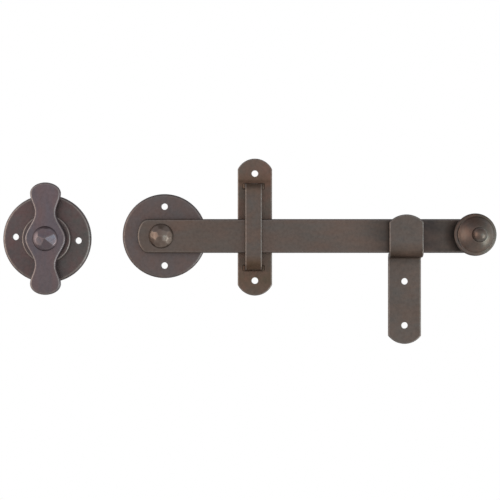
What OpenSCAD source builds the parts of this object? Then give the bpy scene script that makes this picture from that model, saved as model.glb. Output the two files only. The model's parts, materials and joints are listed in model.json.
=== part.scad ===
// Drop-bar door latch worked from the far side of the door by a toggle (thumb turn).
// All sizes are in millimetres. The door face is the XZ plane at y = 0, +Z is up, and
// the hardware stands out towards -Y. The spindle and the hubs run back towards +Y.
// The origin is where the bar's pivot axis meets the door face.
//
// Every piece is drawn lying down, with local Z as its height off the door face, and
// on_door() stands it up. Local Y then points up the door.

/* [Latch bar] */
// Width of the latch bar
bar_width = 25.4; // [23:0.1:27]
// Thickness of the latch bar
bar_thickness = 6.35; // [5:0.05:8]
// Distance from the pivot axis to the knob's axis
bar_reach = 231.7; // [220:0.1:260]
// Distance from the pivot axis to the tip of the bar's tail
bar_tail = 20; // [18:0.5:24]
// Radius of the arc across the bar's tail
bar_tail_radius = 17.7; // [15:0.1:24]
// Radius of the arc across the bar's other end, behind the knob
bar_end_radius = 13.7; // [13.7:0.1:24]
// Width of the bevel along the bar's front edges
bar_bevel = 1.5; // [0.5:0.1:2]

/* [Knob] */
// Height of the knob's axis above the bar's centre line
knob_rise = 0.9; // [0:0.1:2]
// Radius of the knob's rim
knob_radius = 15.8; // [14:0.1:18]
// Height of the knob above the bar
knob_height = 24.1; // [22:0.1:28]
// Radius of the button at the knob's centre
knob_button_radius = 4.9; // [4:0.1:6]

/* [Roses] */
// Radius of the round plate under the bar's pivot
bar_rose_radius = 31.75; // [30:0.25:36]
// Radius of the round plate under the toggle
toggle_rose_radius = 33.25; // [31:0.25:36]
// Thickness of both roses
rose_thickness = 4.76; // [4:0.01:6]
// Width of the rounding on a rose's rim
rose_edge = 1.8; // [0.5:0.1:2.5]
// Distance of the bar rose's screw holes from its centre
bar_rose_screw_radius = 22.25; // [20:0.25:26]
// Distance of the toggle rose's screw holes from its centre
toggle_rose_screw_radius = 23.75; // [22:0.25:27]
// Turn of the toggle rose's screw holes from level
toggle_rose_turn = -3.4; // [-10:0.1:10]

/* [Guide] */
// Distance of the guide's centre line from the pivot axis
guide_x = 68.2; // [60:0.1:90]
// Height of the guide's middle above the pivot axis
guide_z = 6.8; // [5:0.1:8]
// Width of the guide's backplate
guide_width = 26; // [25:0.1:27]
// Length of the guide's backplate
guide_length = 103.6; // [100:0.1:120]
// Radius of the arc across each end of the backplate
guide_end_radius = 14.5; // [14:0.1:24]
// Distance between the guide's screw holes
guide_screw_spacing = 81; // [78:0.5:84]
// Width of the bridging strap
strap_width = 12.5; // [10:0.1:16]
// Thickness of the bridging strap
strap_thickness = 3.6; // [2.5:0.1:4.5]
// Length of the strap along the door, outside its legs
strap_length = 65.6; // [64:0.1:68]
// Sideways offset of the strap on its backplate
strap_shift = -1; // [-2:0.1:2]

/* [Catch] */
// Distance of the catch's centre line from the pivot axis
catch_x = 181.4; // [150:0.1:195]
// Thickness of the catch's strap
catch_thickness = 3.2; // [2.5:0.1:4]
// Width of the catch's lower plate
catch_plate_width = 24.8; // [23:0.1:28]
// Width of the catch's front flap
catch_flap_width = 25.9; // [24:0.1:28]
// Distance of the plate's lower tip below the pivot axis
catch_drop = 81.5; // [76:0.5:90]
// Height of the flap's upper tip above the pivot axis
catch_rise = 16.1; // [14:0.1:18]
// Distance of the upper screw hole below the pivot axis
catch_screw_drop = 34.2; // [30:0.1:36]
// Distance between the catch's screw holes
catch_screw_spacing = 33.3; // [30:0.1:36]

/* [Toggle] */
// Distance of the toggle's axis to the left of the pivot axis
toggle_offset = 88.7; // [80:0.1:110]
// Drop of the toggle's axis below the pivot axis
toggle_drop = 2; // [0:0.5:6]
// Radius of the raised collar under the handle
collar_radius = 18.2; // [17:0.1:20]
// Height of the raised collar
collar_height = 3.74; // [3:0.01:5]
// Half of the handle's length
handle_reach = 42.1; // [39:0.1:48]
// Half of the handle's width across its hub
handle_hub = 15.2; // [14:0.1:16]
// Half of the handle's width across its waist
handle_waist = 7.9; // [7:0.1:9]
// Half of the handle's width across its rounded ends
handle_lobe = 11.4; // [10:0.1:13]
// Thickness of the handle
handle_thickness = 5; // [4:0.1:6]
// Width of the handle's rounded edge
handle_edge = 1.5; // [0.5:0.1:1.8]

/* [Spindle and hubs] */
// Side of the square spindle
spindle_side = 8; // [7:0.5:8]
// Length of the spindle behind the door face
spindle_length = 50; // [40:1:90]
// Radius of both hubs where they turn in their bushes
journal_radius = 7.5; // [7.5:0.1:8]
// Radial clearance between a hub and its bush
running_clearance = 0.05; // [0.02:0.01:0.1]

/* [Fixings] */
// Radius of the mounting screw holes
screw_hole_radius = 2.45; // [2:0.05:2.75]
// Radius of the screw that holds the knob
knob_screw_radius = 2.5; // [2:0.1:3]

/* [Hidden] */
$fn = 64;

// Colours
patina = "#5b4d47";
patina_dark = "#4c413c";
bush_bronze = "#8d6f45";
steel = "#8b8a88";

// Heights off the door face, from the rose outwards
running_gap = 0.14;
washer_thickness = 0.6;
bar_back = rose_thickness + running_gap + washer_thickness;
bar_front = bar_back + bar_thickness;
sliding_gap = 0.75;
bridge_height = bar_front + sliding_gap;
collar_top = rose_thickness + collar_height;
handle_back = collar_top + running_gap + washer_thickness;
handle_front = handle_back + handle_thickness;

// Hubs, from the door face backwards
bush_wall = 2;
bush_radius = journal_radius + running_clearance + bush_wall;
bush_tail = 4;
back_gap = 0.1;
back_washer_thickness = 0.8;
ring_thickness = 1;
ring_start = bush_tail + back_gap + back_washer_thickness + back_gap;
groove_depth = 0.6;
groove_margin = 0.05;
hub_tail = 11;
tenon_side = 10;
tenon_relief = 0.2;
stud_radius = 4;
stud_length = 2.5;
stud_relief = 0.5;
washer_radius = 12;
back_washer_radius = 11;
ring_radius = 9.8;
ring_slot = 40;
socket_play = 0.1;
bar_socket_depth = 11;
spindle_seat = 4;
spindle_chamfer = 1;
pin_radius = 1.25;
pin_depth = 8.5;

// Domes: the pivot's sits a little off its stud, towards the bar's tail
pivot_dome_radius = 9.3;
pivot_dome_height = 7;
pivot_dome_shift = 2.1;
toggle_dome_radius = 9.4;
toggle_dome_height = 4.8;

// Knob: the stem with its cove, the rim's rounding, and the face that swells from a step
// inside the rim up to the crease round the button
knob_stem_radius = 8.4;
knob_foot_height = 1.2;
knob_cove_radius = 3.6;
knob_cove_depth = 1.4;
knob_cove_middle = 4.4;
knob_neck_inset = 0.2;
knob_neck_height = 6.4;
knob_flare_inset = 2.2;
knob_flare_drop = 1.2;
knob_rim_middle = 8.8;
knob_rim_rounding = 1;
knob_step_inset = 1.5;
knob_step_height = 1.2;
knob_face_radius = 17.7;
knob_face_from = 30;
knob_face_to = 68;
knob_crown = 17.5;
knob_crease = 0.3;
knob_button_ball = 5.2;

// Plates and the collar's rounded rim
collar_edge = 0.8;
plate_thickness = 3.2;
plate_bevel = 0.8;
washer_clearance = 0.05;

// Handle outline
waist_reach = 19.6;
lobe_reach = 33.9;
outline_steps = 18;
cap_steps = 8;
edge_steps = 3;

// Catch
ledge_gap = 0.3;
ledge_top = -bar_width / 2 - ledge_gap;
catch_inner_bend = 2.5;
catch_foot_bend = 1.5;
catch_end_radius = 15.5;
flap_end_radius = 17.4;

// Guide strap
strap_inner_bend = 2.4;
foot_spread = 2.1;
foot_height = 2.6;

// Knob screw
screw_head_radius = 5;
screw_head_height = 2.5;
screw_length = 18;
screw_recess_radius = 2;
screw_recess_depth = 1.6;

overlap = 1;

// Points along an arc of radius r round [x, y], from one angle to another
function arc(x, y, r, from, to, steps = 8) =
    [for (i = [0:steps])
        let (a = from + (to - from) * i / steps)
        [x + r * cos(a), y + r * sin(a)]];

function mix(a, b, t) = a + (b - a) * t;

// Half of the handle's width at a distance from its centre, up to its widest point
function handle_half_width(d) =
    d < waist_reach
        ? mix(handle_waist, handle_hub, (1 + cos(180 * d / waist_reach)) / 2)
        : mix(handle_waist, handle_lobe,
              (1 - cos(180 * (d - waist_reach) / (lobe_reach - waist_reach))) / 2);

// The quarter of the handle's outline from its upper tip to its hub
handle_quarter = concat(
    [for (i = [0:cap_steps])
        let (a = 90 - 90 * i / cap_steps)
        [handle_lobe * cos(a), lobe_reach + (handle_reach - lobe_reach) * sin(a)]],
    [for (i = [1:outline_steps])
        let (d = lobe_reach * (1 - i / outline_steps))
        [handle_half_width(d), d]]);

// The full outline, anticlockwise, with each shared point taken once
handle_outline = concat(
    [[0, -handle_reach]],
    [for (i = [1:len(handle_quarter) - 1]) [handle_quarter[i][0], -handle_quarter[i][1]]],
    [for (i = [len(handle_quarter) - 2:-1:0]) handle_quarter[i]],
    [for (i = [1:len(handle_quarter) - 1]) [-handle_quarter[i][0], handle_quarter[i][1]]],
    [for (i = [len(handle_quarter) - 2:-1:1]) [-handle_quarter[i][0], -handle_quarter[i][1]]]);

function left_normal(from, to) = [from[1] - to[1], to[0] - from[0]] / norm(to - from);

// Moves a closed anticlockwise outline inwards by a distance, keeping its edges parallel
function inset(points, distance) =
    let (n = len(points))
    [for (i = [0:n - 1])
        let (before = left_normal(points[(i + n - 1) % n], points[i]),
             after = left_normal(points[i], points[(i + 1) % n]))
        points[i] + distance * (before + after) / (1 + before * after)];

module on_door() {
    rotate([90, 0, 0]) children();
}

module at_toggle() {
    on_door() translate([-toggle_offset, -toggle_drop, 0]) children();
}

module at_guide() {
    on_door() translate([guide_x, guide_z, 0]) children();
}

module at_catch() {
    on_door() translate([catch_x, 0, 0]) children();
}

module at_knob() {
    on_door() translate([bar_reach, knob_rise, 0]) children();
}

// A tube standing on a height
module ring(inner, outer, base, height) {
    translate([0, 0, base])
        difference() {
            cylinder(r = outer, h = height);
            translate([0, 0, -overlap]) cylinder(r = inner, h = height + 2 * overlap);
        }
}

// A disc whose front rim is rounded
module rimmed_disc(radius, thickness, edge) {
    rotate_extrude()
        polygon(concat([[0, 0], [radius, 0]],
                       arc(radius - edge, thickness - edge, edge, 0, 90, 6),
                       [[0, thickness]]));
}

// A profile drawn in (local Y, height) and run along local X
module along_x(width) {
    translate([-width / 2, 0, 0])
        rotate([90, 0, 90])
            linear_extrude(width) children();
}

// A disc whose front rim is bevelled, used to trim the ends of flat bars
module bevelled_disc(radius, thickness, bevel) {
    rotate_extrude()
        polygon([[0, 0], [radius, 0], [radius, thickness - bevel],
                 [radius - bevel, thickness], [0, thickness]]);
}

// A flat bar along local Y, bevelled round its front, with an arc across each end
module flat_bar(width, thickness, low, high, low_radius, high_radius, bevel) {
    intersection() {
        translate([0, high, 0])
            rotate([90, 0, 0])
                linear_extrude(high - low)
                    polygon([[-width / 2, 0], [width / 2, 0],
                             [width / 2, thickness - bevel], [width / 2 - bevel, thickness],
                             [bevel - width / 2, thickness], [-width / 2, thickness - bevel]]);
        union() {
            translate([-width, low + low_radius, 0])
                cube([2 * width, high - high_radius - low - low_radius, thickness]);
            translate([0, low + low_radius, 0])
                bevelled_disc(low_radius, thickness, bevel);
            translate([0, high - high_radius, 0])
                bevelled_disc(high_radius, thickness, bevel);
        }
    }
}

module screw_hole(x, y, thickness) {
    translate([x, y, -overlap])
        cylinder(r = screw_hole_radius, h = thickness + 2 * overlap);
}

// A round plate with a bushed centre and two opposite screw holes
module rose(radius, screw_radius, screw_angle) {
    difference() {
        rimmed_disc(radius, rose_thickness, rose_edge);
        translate([0, 0, -overlap])
            cylinder(r = bush_radius, h = rose_thickness + 2 * overlap);
        for (turn = [0, 180])
            rotate([0, 0, screw_angle + turn])
                screw_hole(screw_radius, 0, rose_thickness);
    }
}

module bush(top) {
    ring(journal_radius + running_clearance, bush_radius, -bush_tail, top + bush_tail);
}

// A turned hub: a round journal, a square tenon at the front and a threaded stud.
// The square socket in its tail takes the spindle.
module hub(shoulder, front, socket_side, socket_depth) {
    difference() {
        union() {
            translate([0, 0, -hub_tail])
                cylinder(r = journal_radius, h = hub_tail + shoulder);
            translate([-tenon_side / 2, -tenon_side / 2, shoulder])
                cube([tenon_side, tenon_side, front - tenon_relief - shoulder]);
            translate([0, 0, front - tenon_relief])
                cylinder(r = stud_radius, h = stud_length);
        }
        translate([-socket_side / 2, -socket_side / 2, -hub_tail - overlap])
            cube([socket_side, socket_side, socket_depth + overlap]);
        ring(journal_radius - groove_depth, journal_radius + overlap,
             -ring_start - ring_thickness - groove_margin, ring_thickness + 2 * groove_margin);
    }
}

module thrust_washer(base) {
    ring(journal_radius + washer_clearance, washer_radius, base, washer_thickness);
}

module back_washer() {
    ring(journal_radius + washer_clearance, back_washer_radius,
         -bush_tail - back_gap - back_washer_thickness, back_washer_thickness);
}

// A spring ring with a gap, seated in the hub's groove
module retaining_ring() {
    difference() {
        ring(journal_radius - groove_depth, ring_radius,
             -ring_start - ring_thickness, ring_thickness);
        translate([0, 0, -ring_start - ring_thickness - overlap])
            linear_extrude(ring_thickness + 2 * overlap)
                polygon([[0, 0],
                         2 * ring_radius * [sin(ring_slot / 2), -cos(ring_slot / 2)],
                         2 * ring_radius * [-sin(ring_slot / 2), -cos(ring_slot / 2)]]);
    }
}

// The square hole that a hub's tenon fills
module tenon_hole(base, thickness) {
    translate([-tenon_side / 2, -tenon_side / 2, base - overlap])
        cube([tenon_side, tenon_side, thickness + 2 * overlap]);
}

// A cap nut forged as a low dome, with flats hammered round it and over its crown
module hammered_dome(radius, height, shift, flats, first_flat, tilt, crown) {
    ball = (radius * radius + height * height) / (2 * height);
    difference() {
        intersection() {
            translate([0, 0, height - ball]) sphere(r = ball);
            translate([-2 * radius, -2 * radius, 0])
                cube([4 * radius, 4 * radius, 2 * height]);
        }
        for (i = [0:flats - 1])
            rotate([0, 0, first_flat + 360 * i / flats])
                translate([0, 0, height - ball])
                    rotate([0, tilt, 0])
                        translate([-2 * ball, -2 * ball, crown * ball])
                            cube([4 * ball, 4 * ball, ball]);
        translate([shift, 0, -overlap])
            cylinder(r = stud_radius, h = stud_length - tenon_relief + stud_relief + overlap);
    }
}

// Bar unit

module bar_rose() {
    color(patina) on_door() rose(bar_rose_radius, bar_rose_screw_radius, 90);
}

module bar_bush() {
    color(bush_bronze) on_door() bush(rose_thickness);
}

module bar_hub() {
    color(steel) on_door()
        hub(bar_back, bar_front, spindle_side + 2 * socket_play, bar_socket_depth);
}

module bar_thrust_washer() {
    color(bush_bronze) on_door() thrust_washer(rose_thickness + running_gap);
}

module bar_back_washer() {
    color(steel) on_door() back_washer();
}

module bar_retaining_ring() {
    color(steel) on_door() retaining_ring();
}

module countersunk_hole() {
    translate([0, 0, -overlap])
        cylinder(r = knob_screw_radius, h = bar_thickness + 2 * overlap);
    cylinder(r1 = screw_head_radius, r2 = knob_screw_radius, h = screw_head_height);
}

module latch_bar() {
    color(patina) on_door()
        difference() {
            rotate([0, 0, -90])
                translate([0, 0, bar_back])
                    flat_bar(bar_width, bar_thickness, -bar_tail, bar_reach + bar_width / 2,
                             bar_tail_radius, bar_end_radius, bar_bevel);
            tenon_hole(bar_back, bar_thickness);
            translate([bar_reach, knob_rise, bar_back]) countersunk_hole();
        }
}

module pivot_dome() {
    color(patina_dark) on_door() translate([-pivot_dome_shift, 0, bar_front])
        hammered_dome(pivot_dome_radius, pivot_dome_height, pivot_dome_shift,
                      flats = 6, first_flat = 20, tilt = 46, crown = 0.93);
}

// A mushroom knob: a turned stem, a stepped rim, a swelling face and a button
module bar_knob() {
    rim = knob_radius;
    stem = knob_stem_radius;
    button = knob_button_radius;
    face_x = rim - knob_step_inset - knob_face_radius * cos(knob_face_from);
    face_y = knob_rim_middle + knob_step_height - knob_face_radius * sin(knob_face_from);
    color(patina) at_knob() translate([0, 0, bar_front])
        difference() {
            rotate_extrude()
                polygon(concat(
                    [[0, 0], [stem, 0], [stem, knob_foot_height]],
                    arc(stem - knob_cove_depth + knob_cove_radius, knob_cove_middle,
                        knob_cove_radius, 230, 180, 6),
                    [[stem - knob_neck_inset, knob_neck_height],
                     [rim - knob_flare_inset, knob_rim_middle - knob_flare_drop]],
                    arc(rim - knob_rim_rounding, knob_rim_middle, knob_rim_rounding, -60, 90, 8),
                    arc(face_x, face_y, knob_face_radius, knob_face_from, knob_face_to, 12),
                    [[button + knob_crease, knob_crown - knob_crease],
                     [button, knob_crown + knob_crease]],
                    arc(0, knob_height - knob_button_ball, knob_button_ball, 20, 90, 8)));
            translate([0, 0, -overlap])
                cylinder(r = knob_screw_radius, h = screw_length - bar_thickness + 2 * overlap);
        }
}

module knob_screw() {
    color(steel) at_knob() translate([0, 0, bar_back])
        difference() {
            union() {
                cylinder(r1 = screw_head_radius, r2 = knob_screw_radius, h = screw_head_height);
                cylinder(r = knob_screw_radius, h = screw_length);
            }
            translate([0, 0, -overlap])
                cylinder(r = screw_recess_radius, h = screw_recess_depth + overlap, $fn = 6);
        }
}

// Guide

module strap_slots() {
    for (end = [-1, 1])
        translate([strap_shift, end * (strap_length - strap_thickness) / 2, plate_thickness / 2])
            cube([strap_width, strap_thickness, plate_thickness + 2 * overlap], center = true);
}

module guide_plate() {
    color(patina) at_guide()
        difference() {
            flat_bar(guide_width, plate_thickness, -guide_length / 2, guide_length / 2,
                     guide_end_radius, guide_end_radius, plate_bevel);
            strap_slots();
            for (end = [-1, 1])
                screw_hole(0, end * guide_screw_spacing / 2, plate_thickness);
        }
}

// A strap bent over the bar, with its feet spread on the plate and its ends let into it
module guide_strap() {
    half = strap_length / 2;
    inner = half - strap_thickness;
    top = bridge_height + strap_thickness;
    outer_bend = strap_inner_bend + strap_thickness;
    color(patina_dark) at_guide() translate([strap_shift, 0, 0]) {
        along_x(strap_width)
            polygon(concat(
                [[half, 0]],
                arc(half - outer_bend, top - outer_bend, outer_bend, 0, 90),
                arc(outer_bend - half, top - outer_bend, outer_bend, 90, 180),
                [[-half, 0], [-inner, 0]],
                arc(strap_inner_bend - inner, bridge_height - strap_inner_bend,
                    strap_inner_bend, 180, 90),
                arc(inner - strap_inner_bend, bridge_height - strap_inner_bend,
                    strap_inner_bend, 90, 0),
                [[inner, 0]]));
        for (end = [-1, 1])
            translate([0, end * (half - strap_thickness / 2), 0])
                strap_foot();
    }
}

// The spread at the root of one of the strap's legs
module strap_foot() {
    low = plate_thickness;
    high = plate_thickness + foot_height;
    translate([0, strap_thickness / 2, 0])
        rotate([90, 0, 0])
            linear_extrude(strap_thickness)
                polygon([[-strap_width / 2 - foot_spread, low], [strap_width / 2 + foot_spread, low],
                         [strap_width / 2, high], [-strap_width / 2, high]]);
}

// Catch

// The strap's side profile: up the door, out under the bar, then up in front of it
module catch_profile() {
    inner = catch_inner_bend;
    outer = inner + catch_thickness;
    foot = catch_foot_bend;
    heel = foot + catch_thickness;
    front = bridge_height + catch_thickness;
    ledge_bottom = ledge_top - catch_thickness;
    polygon(concat(
        [[-catch_drop, 0]],
        arc(ledge_top - heel, heel, heel, -90, 0),
        arc(ledge_top + inner, bridge_height - inner, inner, 180, 90),
        [[catch_rise, bridge_height], [catch_rise, front]],
        arc(ledge_top + inner, front - outer, outer, 90, 180),
        arc(ledge_bottom - foot, catch_thickness + foot, foot, 0, -90),
        [[-catch_drop, catch_thickness]]));
}

// Everything in front of or behind an arc-ended outline, used to shape the strap's ends
module arc_end(width, tip, radius, inwards, depth) {
    middle = tip + inwards * radius;
    linear_extrude(depth)
        intersection() {
            translate([0, middle]) circle(r = radius);
            translate([-width / 2, min(tip, middle)]) square([width, radius]);
        }
}

module catch_outline(depth) {
    plate_top = ledge_top - catch_thickness;
    arc_end(catch_plate_width, -catch_drop, catch_end_radius, 1, depth);
    translate([-catch_plate_width / 2, catch_end_radius - catch_drop, 0])
        cube([catch_plate_width, plate_top + catch_drop - catch_end_radius, depth]);
    translate([-catch_flap_width / 2, plate_top, 0])
        cube([catch_flap_width, catch_rise - flap_end_radius - plate_top, depth]);
    arc_end(catch_flap_width, catch_rise, flap_end_radius, -1, depth);
}

module catch_hook() {
    depth = bridge_height + catch_thickness;
    color(patina) at_catch()
        difference() {
            intersection() {
                along_x(catch_flap_width + 2 * overlap) catch_profile();
                catch_outline(depth);
            }
            for (i = [0, 1])
                screw_hole(0, -catch_screw_drop - i * catch_screw_spacing, catch_thickness);
        }
}

// Toggle unit

module toggle_rose() {
    color(patina) at_toggle() rose(toggle_rose_radius, toggle_rose_screw_radius, toggle_rose_turn);
}

module toggle_collar() {
    color(patina) at_toggle() translate([0, 0, rose_thickness])
        difference() {
            rimmed_disc(collar_radius, collar_height, collar_edge);
            translate([0, 0, -overlap]) cylinder(r = bush_radius, h = collar_height + 2 * overlap);
        }
}

module toggle_bush() {
    color(bush_bronze) at_toggle() bush(collar_top);
}

module spindle_pin(length) {
    translate([-length / 2, 0, -pin_depth])
        rotate([0, 90, 0])
            cylinder(r = pin_radius, h = length);
}

module toggle_hub() {
    color(steel) at_toggle()
        difference() {
            hub(handle_back, handle_front, spindle_side, hub_tail + spindle_seat);
            spindle_pin(2 * (journal_radius + overlap));
        }
}

module toggle_thrust_washer() {
    color(bush_bronze) at_toggle() thrust_washer(collar_top + running_gap);
}

module toggle_back_washer() {
    color(steel) at_toggle() back_washer();
}

module toggle_retaining_ring() {
    color(steel) at_toggle() retaining_ring();
}

// A flat bow-tie handle with rounded front edges, made of stacked outlines
module toggle_handle() {
    n = len(handle_outline);
    rings = concat(
        [[0, 0]],
        [for (i = [0:edge_steps])
            let (a = 90 * i / edge_steps)
            [handle_edge * (1 - cos(a)), handle_thickness - handle_edge * (1 - sin(a))]]);
    layers = [for (step = rings) inset(handle_outline, step[0])];
    points = [for (k = [0:len(rings) - 1]) each [for (p = layers[k]) [p[0], p[1], rings[k][1]]]];
    last = (len(rings) - 1) * n;
    faces = concat(
        [for (i = [0:n / 2 - 1]) [i, i + 1, n - i - 1, (n - i) % n]],
        [for (k = [0:len(rings) - 2])
            for (i = [0:n - 1])
                [k * n + i, (k + 1) * n + i, (k + 1) * n + (i + 1) % n, k * n + (i + 1) % n]],
        [for (i = [0:n / 2 - 1]) last * [1, 1, 1, 1] + [(n - i) % n, n - i - 1, i + 1, i]]);
    color(patina) at_toggle()
        difference() {
            translate([0, 0, handle_back]) polyhedron(points = points, faces = faces);
            tenon_hole(handle_back, handle_thickness);
        }
}

module toggle_dome() {
    color(patina_dark) at_toggle() translate([0, 0, handle_front])
        hammered_dome(toggle_dome_radius, toggle_dome_height, 0,
                      flats = 5, first_flat = 5, tilt = 26, crown = 0.965);
}

// A square bar, chamfered at its free end, that crosses the door to the bar's hub
module toggle_spindle() {
    half = spindle_side / 2;
    color(steel) at_toggle()
        difference() {
            intersection() {
                translate([-half, -half, -spindle_length])
                    cube([spindle_side, spindle_side, spindle_length + spindle_seat]);
                translate([0, 0, -spindle_length])
                    cylinder(r1 = half * sqrt(2) - spindle_chamfer,
                             r2 = half * sqrt(2) - spindle_chamfer + spindle_length + spindle_seat,
                             h = spindle_length + spindle_seat);
            }
            spindle_pin(2 * (journal_radius + overlap));
        }
}

module toggle_spindle_pin() {
    color(steel) at_toggle() spindle_pin(2 * journal_radius);
}

bar_rose();
bar_bush();
bar_hub();
bar_thrust_washer();
bar_back_washer();
bar_retaining_ring();
latch_bar();
pivot_dome();
bar_knob();
knob_screw();
guide_plate();
guide_strap();
catch_hook();
toggle_rose();
toggle_collar();
toggle_bush();
toggle_hub();
toggle_thrust_washer();
toggle_back_washer();
toggle_retaining_ring();
toggle_handle();
toggle_dome();
toggle_spindle();
toggle_spindle_pin();
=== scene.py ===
"""Looks of the toggle bolt latch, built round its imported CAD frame.

Shapes are worked out in millimetres in the door's own plane: x runs right, z up and h is
the height off the door face. world() turns (x, z, h) into the frame's metres, where the
door face is y = 0 and h points to -Y.
"""
import json
import math

import bpy
import numpy as np
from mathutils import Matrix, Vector, noise
from mathutils.geometry import delaunay_2d_cdt

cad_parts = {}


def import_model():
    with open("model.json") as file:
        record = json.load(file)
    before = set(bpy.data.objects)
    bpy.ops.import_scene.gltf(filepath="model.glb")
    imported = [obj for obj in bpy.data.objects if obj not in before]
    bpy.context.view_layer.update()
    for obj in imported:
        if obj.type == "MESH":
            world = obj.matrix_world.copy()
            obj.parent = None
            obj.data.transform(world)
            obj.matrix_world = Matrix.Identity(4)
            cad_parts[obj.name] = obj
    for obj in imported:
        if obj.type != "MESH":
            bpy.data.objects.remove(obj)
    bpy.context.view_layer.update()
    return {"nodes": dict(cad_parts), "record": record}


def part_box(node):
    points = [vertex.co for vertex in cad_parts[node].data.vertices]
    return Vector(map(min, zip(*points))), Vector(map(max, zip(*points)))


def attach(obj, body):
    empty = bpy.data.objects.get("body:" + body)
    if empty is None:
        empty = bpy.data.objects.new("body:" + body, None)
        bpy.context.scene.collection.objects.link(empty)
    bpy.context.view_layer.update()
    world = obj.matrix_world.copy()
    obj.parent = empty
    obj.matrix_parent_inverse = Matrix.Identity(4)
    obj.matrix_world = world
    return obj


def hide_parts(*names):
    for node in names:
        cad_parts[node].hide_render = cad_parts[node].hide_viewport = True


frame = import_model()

MM = 0.001

# Camera: one metre in front of the door face, level, looking along +Y
CAMERA_PLACE = (64.5, -1000, -10.5)
CAMERA_LENS = 95

# Mesh fineness, in millimetres
GRID = 1.5
OUTLINE_STEP = 0.9
SLOT_STEP = 1.2
HOLE_STEP = 0.45
CATCH_STEP = 0.65
EDGE_STEPS = 7

# Twice the area, in square millimetres, below which a triangle is a stray sliver
SLIVER = 1e-4

# Hand-forged waviness of the flat faces
WAVE_HEIGHT = 0.10
WAVE_LENGTH = 17
RIPPLE_SHARE = 0.35
RIPPLES_IN_WAVE = 2.7

# A rounded front edge is rubbed most at this angle round it, in degrees, and less beyond the spread
RUBBED_AT = 68
RUBBED_SPREAD = 16

# Hammered domes: how far the foot sinks, its share of the rim's radius, how far out the darkening
# round the foot starts, dirt at the joint and painted shade, how fully the flats blend, how wide their
# ridges are and how squarely a flat must face
DOME_SINK = 0.3
DOME_FOOT_SHARE = 0.97
DOME_DIRT_AND_SHADE_FROM = 0.86
DOME_BLEND = 0.6
DOME_RIDGE = 0.18
DOME_FACING = 0.05


# Frame sizes

def extent(node):
    """The sides of a CAD node in the door's plane, in millimetres."""
    low, high = (np.array(corner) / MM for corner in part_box(node))
    return {
        "left": low[0], "right": high[0], "bottom": low[2], "top": high[2],
        "back": -high[1], "front": -low[1],
        "x": (low[0] + high[0]) / 2, "z": (low[2] + high[2]) / 2,
        "width": high[0] - low[0], "height": high[2] - low[2],
    }


BAR = extent("latch_bar")
GUIDE = extent("guide_plate")
STRAP = extent("guide_strap")
CATCH = extent("catch_hook")
KNOB = extent("bar_knob")
COLLAR = extent("toggle_collar")
HANDLE = extent("toggle_handle")
MOUNTS = {m["name"]: m for m in frame["record"]["mounts"]}

# Sizes in millimetres that more than one function uses
BUSH_RADIUS = extent("bar_bush")["width"] / 2
TENON = 10
STRAP_WIDTH = 12.5
STRAP_THICKNESS = 3.6
KNOB_RIM_TOP = 9.8


# Outlines, as closed loops of (x, z) with the metal on their left

def arc(x, z, radius, start, end, step=OUTLINE_STEP):
    """Points along an arc between two angles in degrees, both ends included."""
    count = max(4, math.ceil(radius * abs(math.radians(end - start)) / step))
    angles = np.radians(np.linspace(start, end, count + 1))
    return np.column_stack([x + radius * np.cos(angles), z + radius * np.sin(angles)])


def disc_outline(x, z, radius, step=OUTLINE_STEP):
    return arc(x, z, radius, 0, 360, step)[:-1]


def hole_outline(x, z, radius):
    return disc_outline(x, z, radius, HOLE_STEP)[::-1]


def slot_outline(x, z, width, height):
    corners = np.array([(-1, -1), (-1, 1), (1, 1), (1, -1)]) * (width / 2, height / 2)
    return densified(corners + (x, z), SLOT_STEP)


def densified(loop, step=OUTLINE_STEP):
    """The loop with its long edges split into steps."""
    points = []
    for here, there in zip(loop, np.roll(loop, -1, axis=0)):
        count = max(1, math.ceil(np.linalg.norm(there - here) / step - 0.01))
        points.extend(here + (there - here) * i / count for i in range(count))
    return np.array(points)


def arc_ended_strip(x, half_width, low, high, low_radius, high_radius, corner=0.0):
    """A strip up the door, with an arc of its own radius across each end.

    corner is the radius of the corners where the low arc meets the sides.
    """
    side = half_width - corner
    low_half = math.degrees(math.asin(side / (low_radius - corner)))
    high_half = math.degrees(math.asin(half_width / high_radius))
    bottom = arc(x, low + low_radius, low_radius, -90 - low_half, -90 + low_half)
    top = arc(x, high - high_radius, high_radius, 90 - high_half, 90 + high_half)
    if corner:
        rise = low + low_radius - math.sqrt((low_radius - corner) ** 2 - side ** 2)
        left = arc(x - side, rise, corner, -180, -90 - low_half)
        right = arc(x + side, rise, corner, -90 + low_half, 0)
        bottom = np.vstack([left[:-1], bottom, right[1:]])
    return densified(np.vstack([bottom, top]))


def left_normals(loop):
    step = np.roll(loop, -1, axis=0) - loop
    step /= np.linalg.norm(step, axis=1)[:, None]
    return np.column_stack([-step[:, 1], step[:, 0]])


def offset(loop, distance):
    """The loop moved into the metal by a distance, keeping its edges parallel."""
    after = left_normals(loop)
    before = np.roll(after, 1, axis=0)
    return loop + distance * (before + after) / (1 + (before * after).sum(axis=1))[:, None]


# Edge profiles, from the back face round to the front face: (inset, height, wear and shade). Above
# nought an edge is rubbed bright; below nought it is darkened, as dirt where the back meets what is
# behind it and as painted shade up the sides.

def rounded_edge(back, front, front_edge, back_edge=0.35, steps=EDGE_STEPS):
    rows = []
    for a in np.radians(np.linspace(90, 0, 3)):
        rows.append((back_edge * (1 - math.cos(a)), back + back_edge * (1 - math.sin(a)), -0.5))
    for a in np.radians(np.linspace(0, 90, steps + 1)):
        rubbed = math.exp(-((math.degrees(a) - RUBBED_AT) / RUBBED_SPREAD) ** 2)
        # The side of the front edge is darkened as painted shade; near the front face the edge is rubbed
        # bright.
        worn_and_shaded = rubbed - 0.75 * math.cos(a) ** 3
        rows.append((front_edge * (1 - math.cos(a)), front - front_edge * (1 - math.sin(a)), worn_and_shaded))
    rows.append((front_edge * 1.25, front, 0))
    return rows


def plain_hole(back, front, edge=0.35):
    return rounded_edge(back, front, edge, steps=3)


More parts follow.
